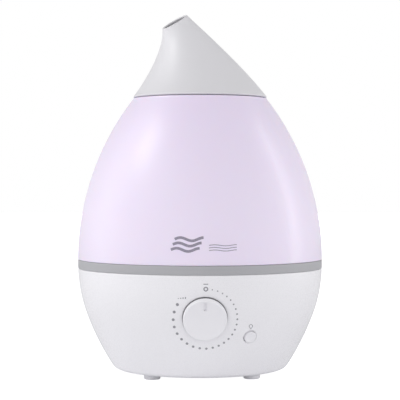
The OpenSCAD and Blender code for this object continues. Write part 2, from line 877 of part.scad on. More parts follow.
spring_turns = 4;
spring_wire = 0.4;
spring_r = stem_r + 1.1;
module valve_spring() {
    n = 16 * spring_turns;
    low = plunger_z + button_low_t + spring_wire + fit;
    high = cap_z - spring_wire - fit;
    color("#b8bbc0") at_cap() tube([for (i = [0:n])
        [spring_r * cos(360 * i / 16), spring_r * sin(360 * i / 16), low + (high - low) * i / n]],
        spring_wire, 6);
}

module cap_seal() {
    color("#8f8f94") at_cap() ring(neck_r - 5, neck_r - 0.2, cap_floor_z + fit, cap_floor_z + cap_seal_t);
}

module filler_cap() {
    color("#e9e9ec") at_cap() difference() {
        union() {
            ring(cap_r - cap_wall, cap_r, cap_z, cap_top);
            disc(cap_r, cap_z, cap_floor_z);
            ring(seat_r, seat_r + seat_t, cap_floor_z, seat_z);
        }
        difference() {
            disc(seat_r, cap_z - 1, seat_z + 1);
            disc(hub_r, cap_z, cap_floor_z);
            for (a = [0, 120, 240]) rotate([0, 0, a]) translate([hub_r, 0, 0])
                block(seat_r, 2, cap_z, cap_floor_z);
        }
        disc(stem_r + run + 0.03, cap_z - 1, seat_z + 1);
        for (a = [0:15:345]) rotate([0, 0, a]) translate([cap_r + 0.7, 0, 0])
            disc(1.5, cap_z - 1, cap_top + 1);
    }
}

// --- nozzle --------------------------------------------------------------------
collar_t = 2.5;
collar_r = recess_r - gap;
collar_in = collar_r - collar_t;
collar_z = plate_z + gap;
nozzle_z = seam_z + shadow;
nozzle_r = tank_side(0, seam_z) - nozzle_set;
module nozzle_collar() {
    color("#e9e9ec") {
        ring(collar_in, collar_r, collar_z, seam_z - gap);
        ring(collar_in - 5, collar_r, collar_z, collar_z + 1.5);
    }
}

// Side curves of the nozzle in the plane that it leans in: u along the lean, v up
mouth_c = [mouth_x, seam_z + mouth_h];
mouth_dir = [cos(mouth_tilt), -sin(mouth_tilt)];
side_dir = [0.62, 0.785];
low_end = mouth_c + mouth_r * mouth_dir;
back_end = mouth_c - mouth_r * mouth_dir;
low_curve = [[nozzle_r, nozzle_z], [nozzle_r - 20 * side_dir[0], nozzle_z + 20 * side_dir[1]],
    low_end - [3.2, 16], low_end];
back_curve = [[-nozzle_r, nozzle_z], [-nozzle_r + 33 * side_dir[0], nozzle_z + 33 * side_dir[1]],
    back_end - [26, 22], back_end];
function bezier(p, t) = pow(1 - t, 3) * p[0] + 3 * pow(1 - t, 2) * t * p[1]
    + 3 * (1 - t) * t * t * p[2] + pow(t, 3) * p[3];
function nozzle_ring(t, inset, n) =
    let (a = bezier(low_curve, t), b = bezier(back_curve, t), c = (a + b) / 2,
        d = unit(a - b), r = norm(a - b) / 2 - inset)
    [for (k = [0:n - 1]) let (u = r * cos(360 * k / n), w = -r * sin(360 * k / n))
        [c[0] + u * d[0], w, c[1] + u * d[1]]];

module nozzle_shell() {
    rows = 20;
    n = 48;
    rings = concat(
        [for (i = [0:rows]) each nozzle_ring(i / rows, 0, n)],
        [for (i = [rows:-1:0]) each nozzle_ring(i / rows, nozzle_wall, n)]);
    total = 2 * rows + 2;
    polyhedron(points = rings, convexity = 6, faces = concat(band_faces(total, n),
        [for (k = [0:n - 1]) [(total - 1) * n + k, (total - 1) * n + (k + 1) % n, (k + 1) % n, k]]));
}

module mist_nozzle() {
    color("#eaeaee") {
        rotate([0, 0, nozzle_az]) nozzle_shell();
        ring(collar_in - gap - 2.3, nozzle_r - 1, nozzle_z, nozzle_z + 1.6);
        ring(collar_in - gap - 2.3, collar_in - gap, collar_z + 1.5 + gap, nozzle_z + 1.6);
    }
}

base_shell();
trim_ring();
deck_rim();
basin_floor();
basin_posts();
air_chimney();
deck_gasket();
bottom_cover();
foot_1();
foot_2();
foot_3();
foot_4();
cover_screws();
dust_filter();
fan_housing();
fan_screws();
air_duct();
transducer_disc();
transducer_seal();
transducer_clamp();
transducer_screws();
driver_board();
board_screws();
heat_sink();
capacitors();
inductor();
control_board();
potentiometer();
pot_nut();
light_board();
tact_switch();
light_lens();
night_led();
power_jack();
jack_nut();
reed_switch();
float_clip();
wire_power();
wire_transducer();
wire_dial();
fan_rotor();
float_ring();
float_magnet();
knob();
pot_shaft();
light_button();
switch_plunger();
tank_shell();
tank_floor();
mist_tube();
tube_seal_low();
tube_seal_top();
tank_handle();
valve_plunger();
valve_washer();
valve_spring();
cap_seal();
filler_cap();
nozzle_collar();
mist_nozzle();
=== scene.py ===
# %% [markdown]
# # A cool mist humidifier
# The object stands on four feet: a white base with a dial, a grey band, a frosted tank and a bent
# nozzle. The frame that is loaded first holds every real size and every joint. What is made here
# gives each piece its smooth surface and its finish, and never moves anything.

# %% Load the frame
import json
import math

import bmesh
import bpy
from mathutils import Matrix, Vector

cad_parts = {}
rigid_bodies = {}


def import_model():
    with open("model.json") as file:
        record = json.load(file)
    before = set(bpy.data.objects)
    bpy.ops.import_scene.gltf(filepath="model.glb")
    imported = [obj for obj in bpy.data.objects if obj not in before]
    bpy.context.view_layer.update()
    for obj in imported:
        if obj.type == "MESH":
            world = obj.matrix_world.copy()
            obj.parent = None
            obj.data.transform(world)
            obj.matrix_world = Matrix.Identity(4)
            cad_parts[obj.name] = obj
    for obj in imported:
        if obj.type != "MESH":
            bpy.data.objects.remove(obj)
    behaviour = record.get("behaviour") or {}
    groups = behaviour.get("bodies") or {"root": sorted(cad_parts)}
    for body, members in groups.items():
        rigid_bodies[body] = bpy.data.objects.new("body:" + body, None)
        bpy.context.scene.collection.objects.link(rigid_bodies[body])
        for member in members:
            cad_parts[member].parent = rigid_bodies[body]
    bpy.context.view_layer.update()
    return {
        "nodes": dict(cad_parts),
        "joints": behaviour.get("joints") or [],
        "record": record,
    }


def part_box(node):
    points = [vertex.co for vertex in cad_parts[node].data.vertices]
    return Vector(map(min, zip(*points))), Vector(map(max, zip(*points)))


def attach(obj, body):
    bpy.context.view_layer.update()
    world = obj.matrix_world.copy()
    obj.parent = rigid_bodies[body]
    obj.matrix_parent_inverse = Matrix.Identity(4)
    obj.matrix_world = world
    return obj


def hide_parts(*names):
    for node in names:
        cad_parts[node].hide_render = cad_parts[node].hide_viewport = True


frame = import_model()
nodes = frame["nodes"]

# %% [markdown]
# Lengths are written in millimetres, as a maker would, and turned to Blender's metres in one place.
# The main sizes are read from the frame, so the smooth pieces land exactly where the working parts
# are.

# %% Sizes read from the frame
MM = 0.001


def low(node):
    return [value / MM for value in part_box(node)[0]]


def high(node):
    return [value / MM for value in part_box(node)[1]]


def joint(name):
    return next(j for j in frame["joints"] if j["name"] == name)


BODY_R = high("trim_ring")[0]
BASE_LOW = low("base_shell")[2]
BASE_TOP = high("base_shell")[2]
BAND_TOP = high("trim_ring")[2]
SEAM_Z = high("tank_shell")[2]
COVER_R = high("bottom_cover")[0]
COVER_Z = BASE_LOW + 3
print(f"body {2 * BODY_R:.0f} mm across, tank seam {SEAM_Z:.1f} mm up")

# %% [markdown]
# The side of the base is two arcs that share a tangent, closed by a small corner radius at the
# bottom. The tank is one single arc. Both are written as formulas, so that marks and icons can be
# laid on the same surface later.

# %% The outlines as formulas
WALL = 2.5
EDGE = 1.2
ARC_R, ARC_Z, ARC_JOIN = 125.0, BASE_TOP + 2.8, math.radians(20)
LOW_R, CORNER_R = 220.0, 7.0
ARC_X = BODY_R - ARC_R
LOW_X = ARC_X - (LOW_R - ARC_R) * math.cos(ARC_JOIN)
LOW_Z = ARC_Z + (LOW_R - ARC_R) * math.sin(ARC_JOIN)
CORNER_A = math.asin((LOW_Z - BASE_LOW - CORNER_R) / (LOW_R - CORNER_R))
CORNER_X = LOW_X + (LOW_R - CORNER_R) * math.cos(CORNER_A)
JOIN_Z = ARC_Z - ARC_R * math.sin(ARC_JOIN)
TANK_Z = BASE_TOP + 6.8
SEAM_R = 59.0
TANK_ARC = ((SEAM_Z - TANK_Z) ** 2 + (BODY_R - SEAM_R) ** 2) / (2 * (BODY_R - SEAM_R))


def base_slope(z):
    return math.asin((ARC_Z - z) / ARC_R) if z > JOIN_Z else math.asin((LOW_Z - z) / LOW_R)


def base_r(z, inset=0.0):
    if z > ARC_Z - (ARC_R - inset) * math.sin(ARC_JOIN):
        return ARC_X + math.sqrt((ARC_R - inset) ** 2 - (ARC_Z - z) ** 2)
    return LOW_X + math.sqrt((LOW_R - inset) ** 2 - (LOW_Z - z) ** 2)


def tank_r(z, inset=0.0):
    return BODY_R - TANK_ARC + math.sqrt((TANK_ARC - inset) ** 2 - (z - TANK_Z) ** 2)


def arc(cx, cz, r, start, end, steps):
    """Points on an arc, angles in degrees."""
    angles = [math.radians(start + (end - start) * i / steps) for i in range(steps + 1)]
    return [(cx + r * math.cos(a), cz + r * math.sin(a)) for a in angles]


print(f"base is {base_r(57.4):.1f} mm in radius at the dial, tank {tank_r(SEAM_Z):.1f} mm at the seam")

# %% [markdown]
# Most of this object is turned shapes, the kind a mould maker cuts on a lathe. The tool for that is
# spin: an outline is drawn by extruding a single vertex from point to point, and then spun around the
# centre line. A subdivided sphere would be quicker, but it could not follow the two arcs of the
# outline.

# %% Helpers for turned shapes
def clear_selection():
    if bpy.context.object and bpy.context.object.mode != "OBJECT":
        bpy.ops.object.mode_set(mode="OBJECT")
    bpy.ops.object.select_all(action="DESELECT")


def only(obj):
    clear_selection()
    obj.select_set(True)
    bpy.context.view_layer.objects.active = obj
    return obj


def named(name):
    obj = bpy.context.object
    obj.name = name
    obj.data.name = name
    return obj


def point_mesh(name, point):
    """A mesh of one vertex, left in edit mode with that vertex selected."""
    clear_selection()
    bpy.ops.mesh.primitive_plane_add(size=MM, location=(0, 0, 0))
    obj = named(name)
    bpy.ops.object.mode_set(mode="EDIT")
    bpy.ops.mesh.merge(type="CENTER")
    bpy.ops.transform.translate(value=point)
    return obj


def lathe(name, outline, steps=192, closed=True):
    """Spins an outline of (radius, height) points in millimetres around the Z axis."""
    points = [Vector((r * MM, 0, z * MM)) for r, z in outline]
    obj = point_mesh(name, points[0])
    for before, after in zip(points, points[1:]):
        bpy.ops.mesh.extrude_region_move(TRANSFORM_OT_translate={"value": after - before})
    if closed:
        bpy.ops.mesh.select_all(action="SELECT")
        mesh = bmesh.from_edit_mesh(obj.data)
        ends = [v for v in mesh.verts if len(v.link_edges) == 1]
        for vert in mesh.verts:
            vert.select = vert in ends
        mesh.select_flush_mode()
        bmesh.update_edit_mesh(obj.data)
        bpy.ops.mesh.edge_face_add()
    bpy.ops.mesh.select_all(action="SELECT")
    bpy.ops.mesh.spin(steps=steps, angle=2 * math.pi, center=(0, 0, 0), axis=(0, 0, 1))
    bpy.ops.mesh.select_all(action="SELECT")
    bpy.ops.mesh.remove_doubles(threshold=MM / 200)
    bpy.ops.mesh.normals_make_consistent(inside=False)
    bpy.ops.object.mode_set(mode="OBJECT")
    return smooth(obj)


def smooth(obj, degrees=32):
    only(obj)
    bpy.ops.object.shade_smooth_by_angle(angle=math.radians(degrees))
    return obj


def apply_modifier(obj, kind, **settings):
    only(obj)
    modifier = obj.modifiers.new(kind.title(), kind)
    for key, value in settings.items():
        setattr(modifier, key, value)
    bpy.ops.object.modifier_apply(modifier=modifier.name)
    return obj


def cut(obj, tool, operation="DIFFERENCE"):
    apply_modifier(obj, "BOOLEAN", operation=operation, object=tool, solver="EXACT")
    bpy.data.objects.remove(tool)
    return obj


def settle(obj):
    """Moves the object's place into its mesh, so that the object itself sits at the origin."""
    only(obj)
    bpy.ops.object.transform_apply(location=True, rotation=True, scale=True)
    return obj


print("lathe, cut and settle are ready")

# %% [markdown]
# The dial and the button lie on the sloping side of the base. A small local frame, with x to the
# right, y up the slope and z straight out of the surface, lets every control be drawn as if it lay
# flat on a bench.

# %% The frames on the base's surface
DIAL_Z = joint("knob_turn")["pos_m"][2] / MM
BUTTON_Z, BUTTON_AZ = 40.6, math.radians(23.5)
BULB_Z = 49.6
JACK_Z = 30.0
JACK_FACE = base_r(JACK_Z) - 10


def surface_frame(azimuth, z):
    """Azimuth is measured from the front, towards the right hand side."""
    tilt = base_slope(z)
    place = Matrix.Translation((0, -base_r(z) * MM, z * MM)) @ Matrix.Rotation(math.pi / 2 + tilt, 4, "X")
    return Matrix.Rotation(azimuth, 4, "Z") @ place


DIAL = surface_frame(0, DIAL_Z)
BUTTON = surface_frame(BUTTON_AZ, BUTTON_Z)
print("dial faces", [round(v, 3) for v in DIAL.to_3x3() @ Vector((0, 0, 1))])

# %% [markdown]
# The base is one moulding with a wall of 2.5 mm. It is spun from its outline, and then the seat of
# the dial, the hole of the button and the pocket of the power socket are cut with boolean cylinders.
# The wall is too thin behind the dial, so a round pad is joined on inside first, as a moulder would
# add.

# %% The base's outline
BASE_SIDE = (arc(ARC_X, ARC_Z, ARC_R, -1.9, -20, 22)
             + arc(LOW_X, LOW_Z, LOW_R, -20.6, -math.degrees(CORNER_A), 20)
             + arc(CORNER_X, BASE_LOW + CORNER_R, CORNER_R, -math.degrees(CORNER_A) - 7, -90, 9))
CORNER_IN = CORNER_R - WALL
CORNER_POINT = (CORNER_X + CORNER_IN * math.cos(CORNER_A),
                BASE_LOW + CORNER_R - CORNER_IN * math.sin(CORNER_A))
INNER_SIDE = ([CORNER_POINT]
              + arc(LOW_X, LOW_Z, LOW_R - WALL, -32, -20, 12)
              + arc(ARC_X, ARC_Z, ARC_R - WALL, -18.5, -5, 10))
RIM = [(BODY_R - WALL, BASE_TOP)] + arc(BODY_R - EDGE, BASE_TOP - EDGE, EDGE, 90, 6, 5)
print("the base's side has", len(BASE_SIDE), "points")

# %% Rods and funnels to cut with
def rod(radius, start, end, frame_at=None, vertices=96):
    """A cylinder along a local z axis, from start to end, in millimetres."""
    clear_selection()
    bpy.ops.mesh.primitive_cylinder_add(vertices=vertices, radius=radius * MM, depth=(end - start) * MM,
                                        location=(0, 0, (start + end) / 2 * MM))
    obj = settle(named("rod"))
    if frame_at is not None:
        obj.data.transform(frame_at)
    return obj


def funnel(low_radius, high_radius, start, end, frame_at):
    """A tapered cylinder along a local z axis, from start to end, in millimetres."""
    clear_selection()
    bpy.ops.mesh.primitive_cone_add(vertices=96, radius1=low_radius * MM, radius2=high_radius * MM,
                                    depth=(end - start) * MM, location=(0, 0, (start + end) / 2 * MM))
    obj = settle(named("funnel"))
    obj.data.transform(frame_at)
    return obj


print("rod and funnel are ready")

# %% The base moulding
def make_base():
    lip, ledge = COVER_R + 0.1, 66
    inside = [(lip, BASE_LOW), (lip, COVER_Z), (ledge, COVER_Z), (ledge, COVER_Z + WALL),
              (CORNER_X + 2, COVER_Z + WALL)]
    base = lathe("base_body", RIM + BASE_SIDE + inside + INNER_SIDE, steps=256)
    cut_dial_seat(base)
    cut_button_hole(base)
    cut_socket(base)
    return smooth(base, 28)


def cut_dial_seat(base):
    pad_r, seat_r, seat, shaft_r = 20.2, 18.85, -2.2, 4.1
    cut(base, rod(pad_r, seat - 2.2, seat + 0.15, DIAL), "UNION")
    cut(base, rod(seat_r, seat, 12, DIAL, vertices=128))
    cut(base, rod(shaft_r, -9, 1, DIAL))


def cut_button_hole(base):
    hole_r, bevel_r, bevel_depth = 5.55, 6.9, 1.2
    cut(base, rod(hole_r, -9, 9, BUTTON))
    cut(base, funnel(hole_r - 0.15, bevel_r, -bevel_depth, 0.3, BUTTON))


def cut_socket(base):
    boss_r, pocket_r, thread_r = 9.5, 7.5, 4.1
    inset, start = 0.6, BASE_TOP - 3
    back = Matrix.Translation((0, JACK_FACE * MM, JACK_Z * MM)) @ Matrix.Rotation(-math.pi / 2, 4, "X")
    boss = rod(boss_r, -2.5, 20, back)
    behind_boss = BASE_SIDE[4:42]
    outline = [(0, start), (base_r(start, inset), start)] + [(r - inset, z) for r, z in behind_boss]
    cut(boss, lathe("outer", outline + [(0, behind_boss[-1][1])], steps=128, closed=False), "INTERSECT")
    cut(base, boss, "UNION")
    cut(base, rod(pocket_r, 0, 40, back))
    cut(base, rod(thread_r, -9, 1, back))


base_body = make_base()
print("base_body:", len(base_body.data.polygons), "faces")

# %% [markdown]
# The grey band is a separate ring that sits between base and tank. Its edges are broken by 0.6 mm,
# because a perfectly sharp edge never catches light the way a moulded one does.

# %% The grey band
def make_band():
    soft, wall, flange = 0.6, 2.6, 2
    inner = BODY_R - 10
    outline = ([(inner, BASE_TOP)] + arc(BODY_R - soft, BASE_TOP + soft, soft, -90, 0, 4)
               + arc(BODY_R - soft, BAND_TOP - soft, soft, 0, 90, 4)
               + [(BODY_R - wall, BAND_TOP), (BODY_R - wall, BASE_TOP + flange),
                  (inner, BASE_TOP + flange)])
    return lathe("grey_band", outline, steps=256)


grey_band = make_band()
print("grey_band:", len(grey_band.data.polygons), "faces")

# %% [markdown]
# The tank is a thin dome with a rounded lip where it meets the band and a recess on top for the
# nozzle's collar. Its wall is drawn in full, outside and inside, because the tank can be lifted off
# and looked into.

# %% The tank
def between(start, end, steps):
    return [start + (end - start) * i / steps for i in range(steps + 1)]


def make_tank():
    spigot, spigot_wall, spigot_low = BODY_R - 2.9, 2.5, low("tank_shell")[2]
    bottom, lip, rim = BAND_TOP + 0.2, 0.5, 0.5
    recess = SEAM_R - 5
    floor = SEAM_Z - 8.7
    under = floor - 2.5
    socket, socket_out, socket_low = 16.2, 18.7, under - 8
    wall, web = 2.6, 2
    side = [(tank_r(z), z) for z in between(bottom + lip, SEAM_Z - rim, 80)]
    inner = [(tank_r(z, wall), z) for z in between(floor + web, bottom + 2.3, 40)]
    outline = ([(spigot - spigot_wall, spigot_low), (spigot, spigot_low), (spigot, bottom)]
               + arc(side[0][0] - lip, bottom + lip, lip, -90, -12, 4) + side
               + arc(side[-1][0] - rim, SEAM_Z - rim, rim, 25, 90, 4)
               + [(recess, SEAM_Z), (recess, floor), (socket, floor), (socket, socket_low),
                  (socket_out, socket_low), (socket_out, under), (recess + wall, under),
                  (recess + wall, floor + web)]
               + inner + [(spigot - spigot_wall, bottom + 1.2)])
    return lathe("tank_body", outline, steps=256)


tank_body = make_tank()
print("tank_body:", len(tank_body.data.polygons), "faces")

# %% [markdown]
# The nozzle is a cone that bends over to one side. It starts as a circle, and every further ring is
# extruded, scaled, turned and moved, so that the ring's two ends follow two curves: a short one under
# the bend and a long one over it. Solidify gives it a wall, and bevel rounds the mouth's lip and the
# lower edge.

# %% The nozzle
NOZZLE_AZ = math.radians(203)
NOZZLE_Z, NOZZLE_R = SEAM_Z + 0.25, SEAM_R - 1.2
MOUTH = Vector((24.6, 0, SEAM_Z + 66.7))
MOUTH_R, MOUTH_TILT = 10.4, math.radians(33)
SIDE = Vector((0.62, 0, 0.785))
TOWARDS = Vector((math.cos(MOUTH_TILT), 0, -math.sin(MOUTH_TILT)))


def bezier(points, t):
    a, b, c, d = points
    return (1 - t) ** 3 * a + 3 * (1 - t) ** 2 * t * b + 3 * (1 - t) * t * t * c + t ** 3 * d


def nozzle_sides(t):
    """The two ends of the nozzle's ring at t, under and over the bend, in the plane that it leans in."""
    under_end, over_end = MOUTH + MOUTH_R * TOWARDS, MOUTH - MOUTH_R * TOWARDS
    under_foot, over_foot = Vector((NOZZLE_R, 0, NOZZLE_Z)), Vector((-NOZZLE_R, 0, NOZZLE_Z))
    under_start = under_foot + 20 * Vector((-SIDE.x, 0, SIDE.z))
    over_start = over_foot + 33 * SIDE
    under = bezier([under_foot, under_start, under_end - Vector((3.2, 0, 16)), under_end], t)
    over = bezier([over_foot, over_start, over_end - Vector((26, 0, 22)), over_end], t)
    return under, over


def ring_at(t):
    under, over = nozzle_sides(t)
    tilt = math.atan2(under.z - over.z, under.x - over.x)
    return (under + over) / 2 * MM, (under - over).length / 2 * MM, tilt


def make_nozzle(rows=44, around=160):
    clear_selection()
    centre, radius, tilt = ring_at(0)
    bpy.ops.mesh.primitive_circle_add(vertices=around, radius=radius, location=centre)
    obj = settle(named("nozzle"))
    bpy.ops.object.mode_set(mode="EDIT")
    bpy.ops.mesh.select_all(action="SELECT")
    for row in range(1, rows + 1):
        new_centre, new_radius, new_tilt = ring_at(row / rows)
        bpy.ops.mesh.extrude_region_move()
        factor = new_radius / radius
        bpy.ops.transform.resize(value=(factor, factor, factor), center_override=centre)
        bpy.ops.transform.rotate(value=new_tilt - tilt, orient_axis="Y", center_override=centre)
        bpy.ops.transform.translate(value=new_centre - centre)
        centre, radius, tilt = new_centre, new_radius, new_tilt
    bpy.ops.object.mode_set(mode="OBJECT")
    top = max(v.co.z for v in obj.data.vertices)
    print(f"nozzle mouth ends {top / MM:.1f} mm up, {(MOUTH - MOUTH_R * TOWARDS).z:.1f} planned")
    apply_modifier(obj, "SOLIDIFY", thickness=2 * MM, offset=-1, use_even_offset=True)
    apply_modifier(obj, "BEVEL", width=0.7 * MM, segments=3, limit_method="ANGLE",
                   angle_limit=math.radians(50))
    spigot_r, spigot_in, spigot_low = 50.9, 48.6, low("mist_nozzle")[2]
    web_low, web_top = NOZZLE_Z + 0.4, NOZZLE_Z + 1.8
    outline = [(spigot_in, spigot_low), (spigot_r, spigot_low), (spigot_r, web_low),
               (NOZZLE_R - 1.6, web_low), (NOZZLE_R - 2.4, web_top), (spigot_in, web_top)]
    spigot = lathe("spigot", outline, steps=160)
    only(obj)
    spigot.select_set(True)
    bpy.ops.object.join()
    obj.data.transform(Matrix.Rotation(NOZZLE_AZ, 4, "Z"))
    return smooth(obj, 40)


nozzle = make_nozzle()
print("nozzle:", len(nozzle.data.polygons), "faces")

# %% [markdown]
# The dial is turned too: a flat drum with a rounded rim. Its face is dished by 1.5 mm, which is what
# makes the light change across it. The pointer is a slot with round ends, and a small pit at its inner
# end makes it darker there.

# %% The dial
KNOB_R, KNOB_H, KNOB_BACK = 18.15, 4.2, -1.9


def make_dial():
    rim, dish, skirt = 1.1, 1.5, 1.9
    flat, ceiling = KNOB_R - rim - 0.5, KNOB_H - 3.2
    face = [(r, KNOB_H - dish + dish * (r / flat) ** 2) for r in between(flat, 0, 10)]
    hollow = [(0, ceiling), (KNOB_R - skirt, ceiling), (KNOB_R - skirt, KNOB_BACK), (KNOB_R, KNOB_BACK)]
    outline = hollow + arc(KNOB_R - rim, KNOB_H - rim, rim, 0, 90, 7) + face
    dial = lathe("dial", outline, steps=160, closed=False)
    hub_in, hub_out, hub_low, hub_top = 3.02, 5, 0.3, ceiling + 0.1
    hub = lathe("hub", [(hub_in, hub_low), (hub_out, hub_low), (hub_out, hub_top), (hub_in, hub_top)],
                steps=48)
    cut_pointer(dial)
    only(dial)
    hub.select_set(True)
    bpy.ops.object.join()
    apply_modifier(dial, "BEVEL", width=0.12 * MM, segments=2, limit_method="ANGLE",
                   angle_limit=math.radians(55))
    dial.data.transform(DIAL)
    return smooth(dial, 30)


def cut_pointer(dial):
    slot_low, slot_high, half, pit_r = 0.5 * KNOB_R, 0.8 * KNOB_R, 1.4, 1.1
    groove, pit = KNOB_H - 1.9, KNOB_H - 3.0
    clear_selection()
    middle = (slot_low + slot_high) / 2
    bpy.ops.mesh.primitive_cube_add(size=1, location=(0, middle * MM, (groove + 1) * MM))
    slot = named("slot")
    slot.scale = (2 * half * MM, (slot_high - slot_low) * MM, 2 * MM)
    settle(slot)
    for end in (slot_low, slot_high):
        at_end = Matrix.Translation((0, end * MM, 0))
        cut(slot, rod(half, groove, groove + 2, at_end, vertices=32), "UNION")
    cut(dial, slot)
    cut(dial, rod(pit_r, pit, KNOB_H + 1, Matrix.Translation((0, slot_low * MM, 0)), vertices=32))


dial = make_dial()
print("dial:", len(dial.data.polygons), "faces")

# %% [markdown]
# A thin dark ring sits round the dial's skirt, where it dips into its seat. It is painted shade: it
# draws the dark line of the shaded gap around the dial.

# %% The dark ring of painted shade round the dial
def make_gap_shade():
    # A dark ring just outside the dial's skirt, as painted shade for the gap.
    inner, outer, top, bottom, soft = KNOB_R - 0.02, KNOB_R + 0.25, 0.1, KNOB_BACK + 0.1, 0.12
    outline = [(inner, bottom), (outer, bottom)] + arc(outer - soft, top - soft, soft, 0, 90, 3)
    ring = lathe("dial_gap_shade", outline + [(inner, top)], steps=128)
    ring.data.transform(DIAL)
    return smooth(ring)


dial_gap_shade = make_gap_shade()
print("dial_gap_shade:", len(dial_gap_shade.data.polygons), "faces")

# %% [markdown]
# The light button is a small dished cap with a flange behind the wall, so that it cannot fall out.

# %% The light button
BUTTON_R = 5.15


def make_button():
    soft, dish, top = 0.7, 0.55, 0.8
    stem_r, stem_end, flange_r, flange_low, flange_top = 1.6, -7.7, BUTTON_R + 1.4, -4.6, -3.1
    flat = BUTTON_R - soft - 0.2
    face = [(r, top - dish * (1 - (r / flat) ** 2)) for r in between(flat, 0, 8)]
    outline = ([(0, stem_end), (stem_r, stem_end), (stem_r, flange_low), (flange_r, flange_low),
                (flange_r, flange_top), (BUTTON_R, flange_top)]
               + arc(BUTTON_R - soft, top - soft, soft, 0, 90, 5) + face)
    button = lathe("light_cap", outline, steps=96, closed=False)
    button.data.transform(BUTTON)
    return smooth(button, 35)


light_cap = make_button()
print("light_cap:", len(light_cap.data.polygons), "faces")

# %% [markdown]
# The four feet are soft rubber plugs, pressed into the underside. One is turned and then copied to
# its places.

# %% The feet
def make_feet():
    radius, height, ring, soft = 7.15, BASE_LOW, 60.5, 1.3
    dimple, plug_r, plug_top = 0.25, 3, BASE_LOW + 1.8
    outline = ([(0, dimple), (plug_r - 0.6, dimple), (plug_r, 0)]
               + arc(radius - soft, soft, soft, -90, 0, 5)
               + [(radius - 0.15, height), (plug_r, height), (plug_r, plug_top), (0, plug_top)])
    pattern = lathe("foot", outline, steps=64, closed=False)
    feet = []
    for index in range(4):
        foot = pattern.copy()
        foot.data = pattern.data.copy()
        foot.name = f"rubber_foot_{index + 1}"
        bpy.context.collection.objects.link(foot)
        angle = math.radians(45 + 90 * index)
        place = Vector((math.cos(angle), math.sin(angle), 0)) * ring * MM
        foot.data.transform(Matrix.Translation(place))
        feet.append(foot)
    bpy.data.objects.remove(pattern)
    return feet


rubber_feet = make_feet()
print(len(rubber_feet), "feet")

# %% [markdown]
# The scale around the dial is printed: a small ring for off at the top, and then 26 dots that grow as
# the mist gets stronger. Print has almost no thickness, so each dot is a disc that stands 0.04 mm
# proud of the surface. Their spacing starts at 10 degrees and opens up towards the last ones.

# %% The printed scale
SCALE_R, SCALE_SQUASH = 26.3, 0.957
SCALE_X, SCALE_Z = 0.4, DIAL_Z - 0.5
INK_LOW, INK_HIGH = -0.04, 0.04


def on_base(x, z):
    """A frame on the base's surface, x to the right of the centre line and z up, seen from the front."""
    return surface_frame(math.asin(x / base_r(z)), z)


def scale_point(degrees):
    angle = math.radians(degrees)
    return on_base(SCALE_X + SCALE_R * math.sin(angle), SCALE_Z + SCALE_SQUASH * SCALE_R * math.cos(angle))


def join(name, parts):
    only(parts[0])
    for part in parts:
        part.select_set(True)
    bpy.ops.object.join()
    parts[0].name = name
    parts[0].data.name = name
    return parts[0]


def print_scale():
    count, first, step, spread = 26, 11.7, 9.8, 6.2
    degrees, marks = first, []
    for index in range(count):
        share = index / (count - 1)
        marks.append(rod(0.55 + 0.75 * share, INK_LOW, INK_HIGH, scale_point(degrees), vertices=24))
        degrees += step + spread * share ** 2.4
    ring_in, ring_out = 1.0, 2.0
    outline = [(ring_in, INK_LOW), (ring_out, INK_LOW), (ring_out, INK_HIGH), (ring_in, INK_HIGH)]
    ring = lathe("off", outline, steps=48)
    ring.data.transform(scale_point(0))
    return join("dial_scale", marks + [ring])


dial_scale = print_scale()
print("dial_scale:", len(dial_scale.data.polygons), "faces")

# %% [markdown]
# Small pictures are printed as well: a short bar above the off ring and a row of ticks at the
# strongest mark, a light bulb above the button, and three waves of mist on the tank. They carry no
# words. Every one starts as flat strokes on a grid, which are then wrapped onto the curved surface.

# %% Flat strokes wrapped onto a surface
def stroke(points, width, wrap):
    """A band of ink along points (x, z) in millimetres, laid on a surface by wrap(x, z)."""
    clear_selection()
    bpy.ops.mesh.primitive_grid_add(x_subdivisions=len(points) - 1, y_subdivisions=1, size=2)
    band = named("stroke")
    columns = len(points)
    for vert in band.data.vertices:
        column = round((vert.co.x + 1) / 2 * (columns - 1))
        before, after = points[max(column - 1, 0)], points[min(column + 1, columns - 1)]
        along = Vector((after[0] - before[0], after[1] - before[1])).normalized()
        share = vert.co.y * width / 2
        x, z = points[column][0] - along.y * share, points[column][1] + along.x * share
        vert.co = wrap(x, z)
    apply_modifier(band, "SOLIDIFY", thickness=0.08 * MM, offset=0)
    return band


def wrap_base(x, z):
    return on_base(x, z).translation


def wrap_tank(x, z):
    angle = x / tank_r(z)
    return Vector((tank_r(z) * math.sin(angle), -tank_r(z) * math.cos(angle), z)) * MM


print("stroke is ready")

# %% The small pictures on the base
def print_pictures():
    off_z = SCALE_Z - 0.4 + SCALE_SQUASH * (SCALE_R + 4.6)
    marks = [stroke([(-1.5 + 0.38 * i, off_z) for i in range(11)], 0.7, wrap_base)]
    full_x, full_z, pitch = -21.8, DIAL_Z + 16.6, 1.9
    for index in range(4):
        x = full_x + pitch * index
        height = 0.5 + 0.35 * index
        marks.append(stroke([(x, full_z), (x, full_z + height)], 0.9, wrap_base))
    bulb_x = math.sin(BUTTON_AZ) * base_r(BULB_Z) - 1.2
    marks.append(stroke(arc(bulb_x, BULB_Z + 0.5, 1.45, -50, 230, 20), 0.5, wrap_base))
    for z in (BULB_Z - 1.0, BULB_Z - 1.75):
        marks.append(stroke([(bulb_x - 0.75, z), (bulb_x + 0.75, z)], 0.45, wrap_base))
    return join("base_pictures", marks)


base_pictures = print_pictures()
print("base_pictures:", len(base_pictures.data.polygons), "faces")

# %% The mist mark on the tank
def wave(start, end, z, swing, count=36):
    turn = 2 * math.pi * 1.25 / (end - start)
    return [(x, z + swing * math.sin(turn * (x - start))) for x in between(start, end, count)]


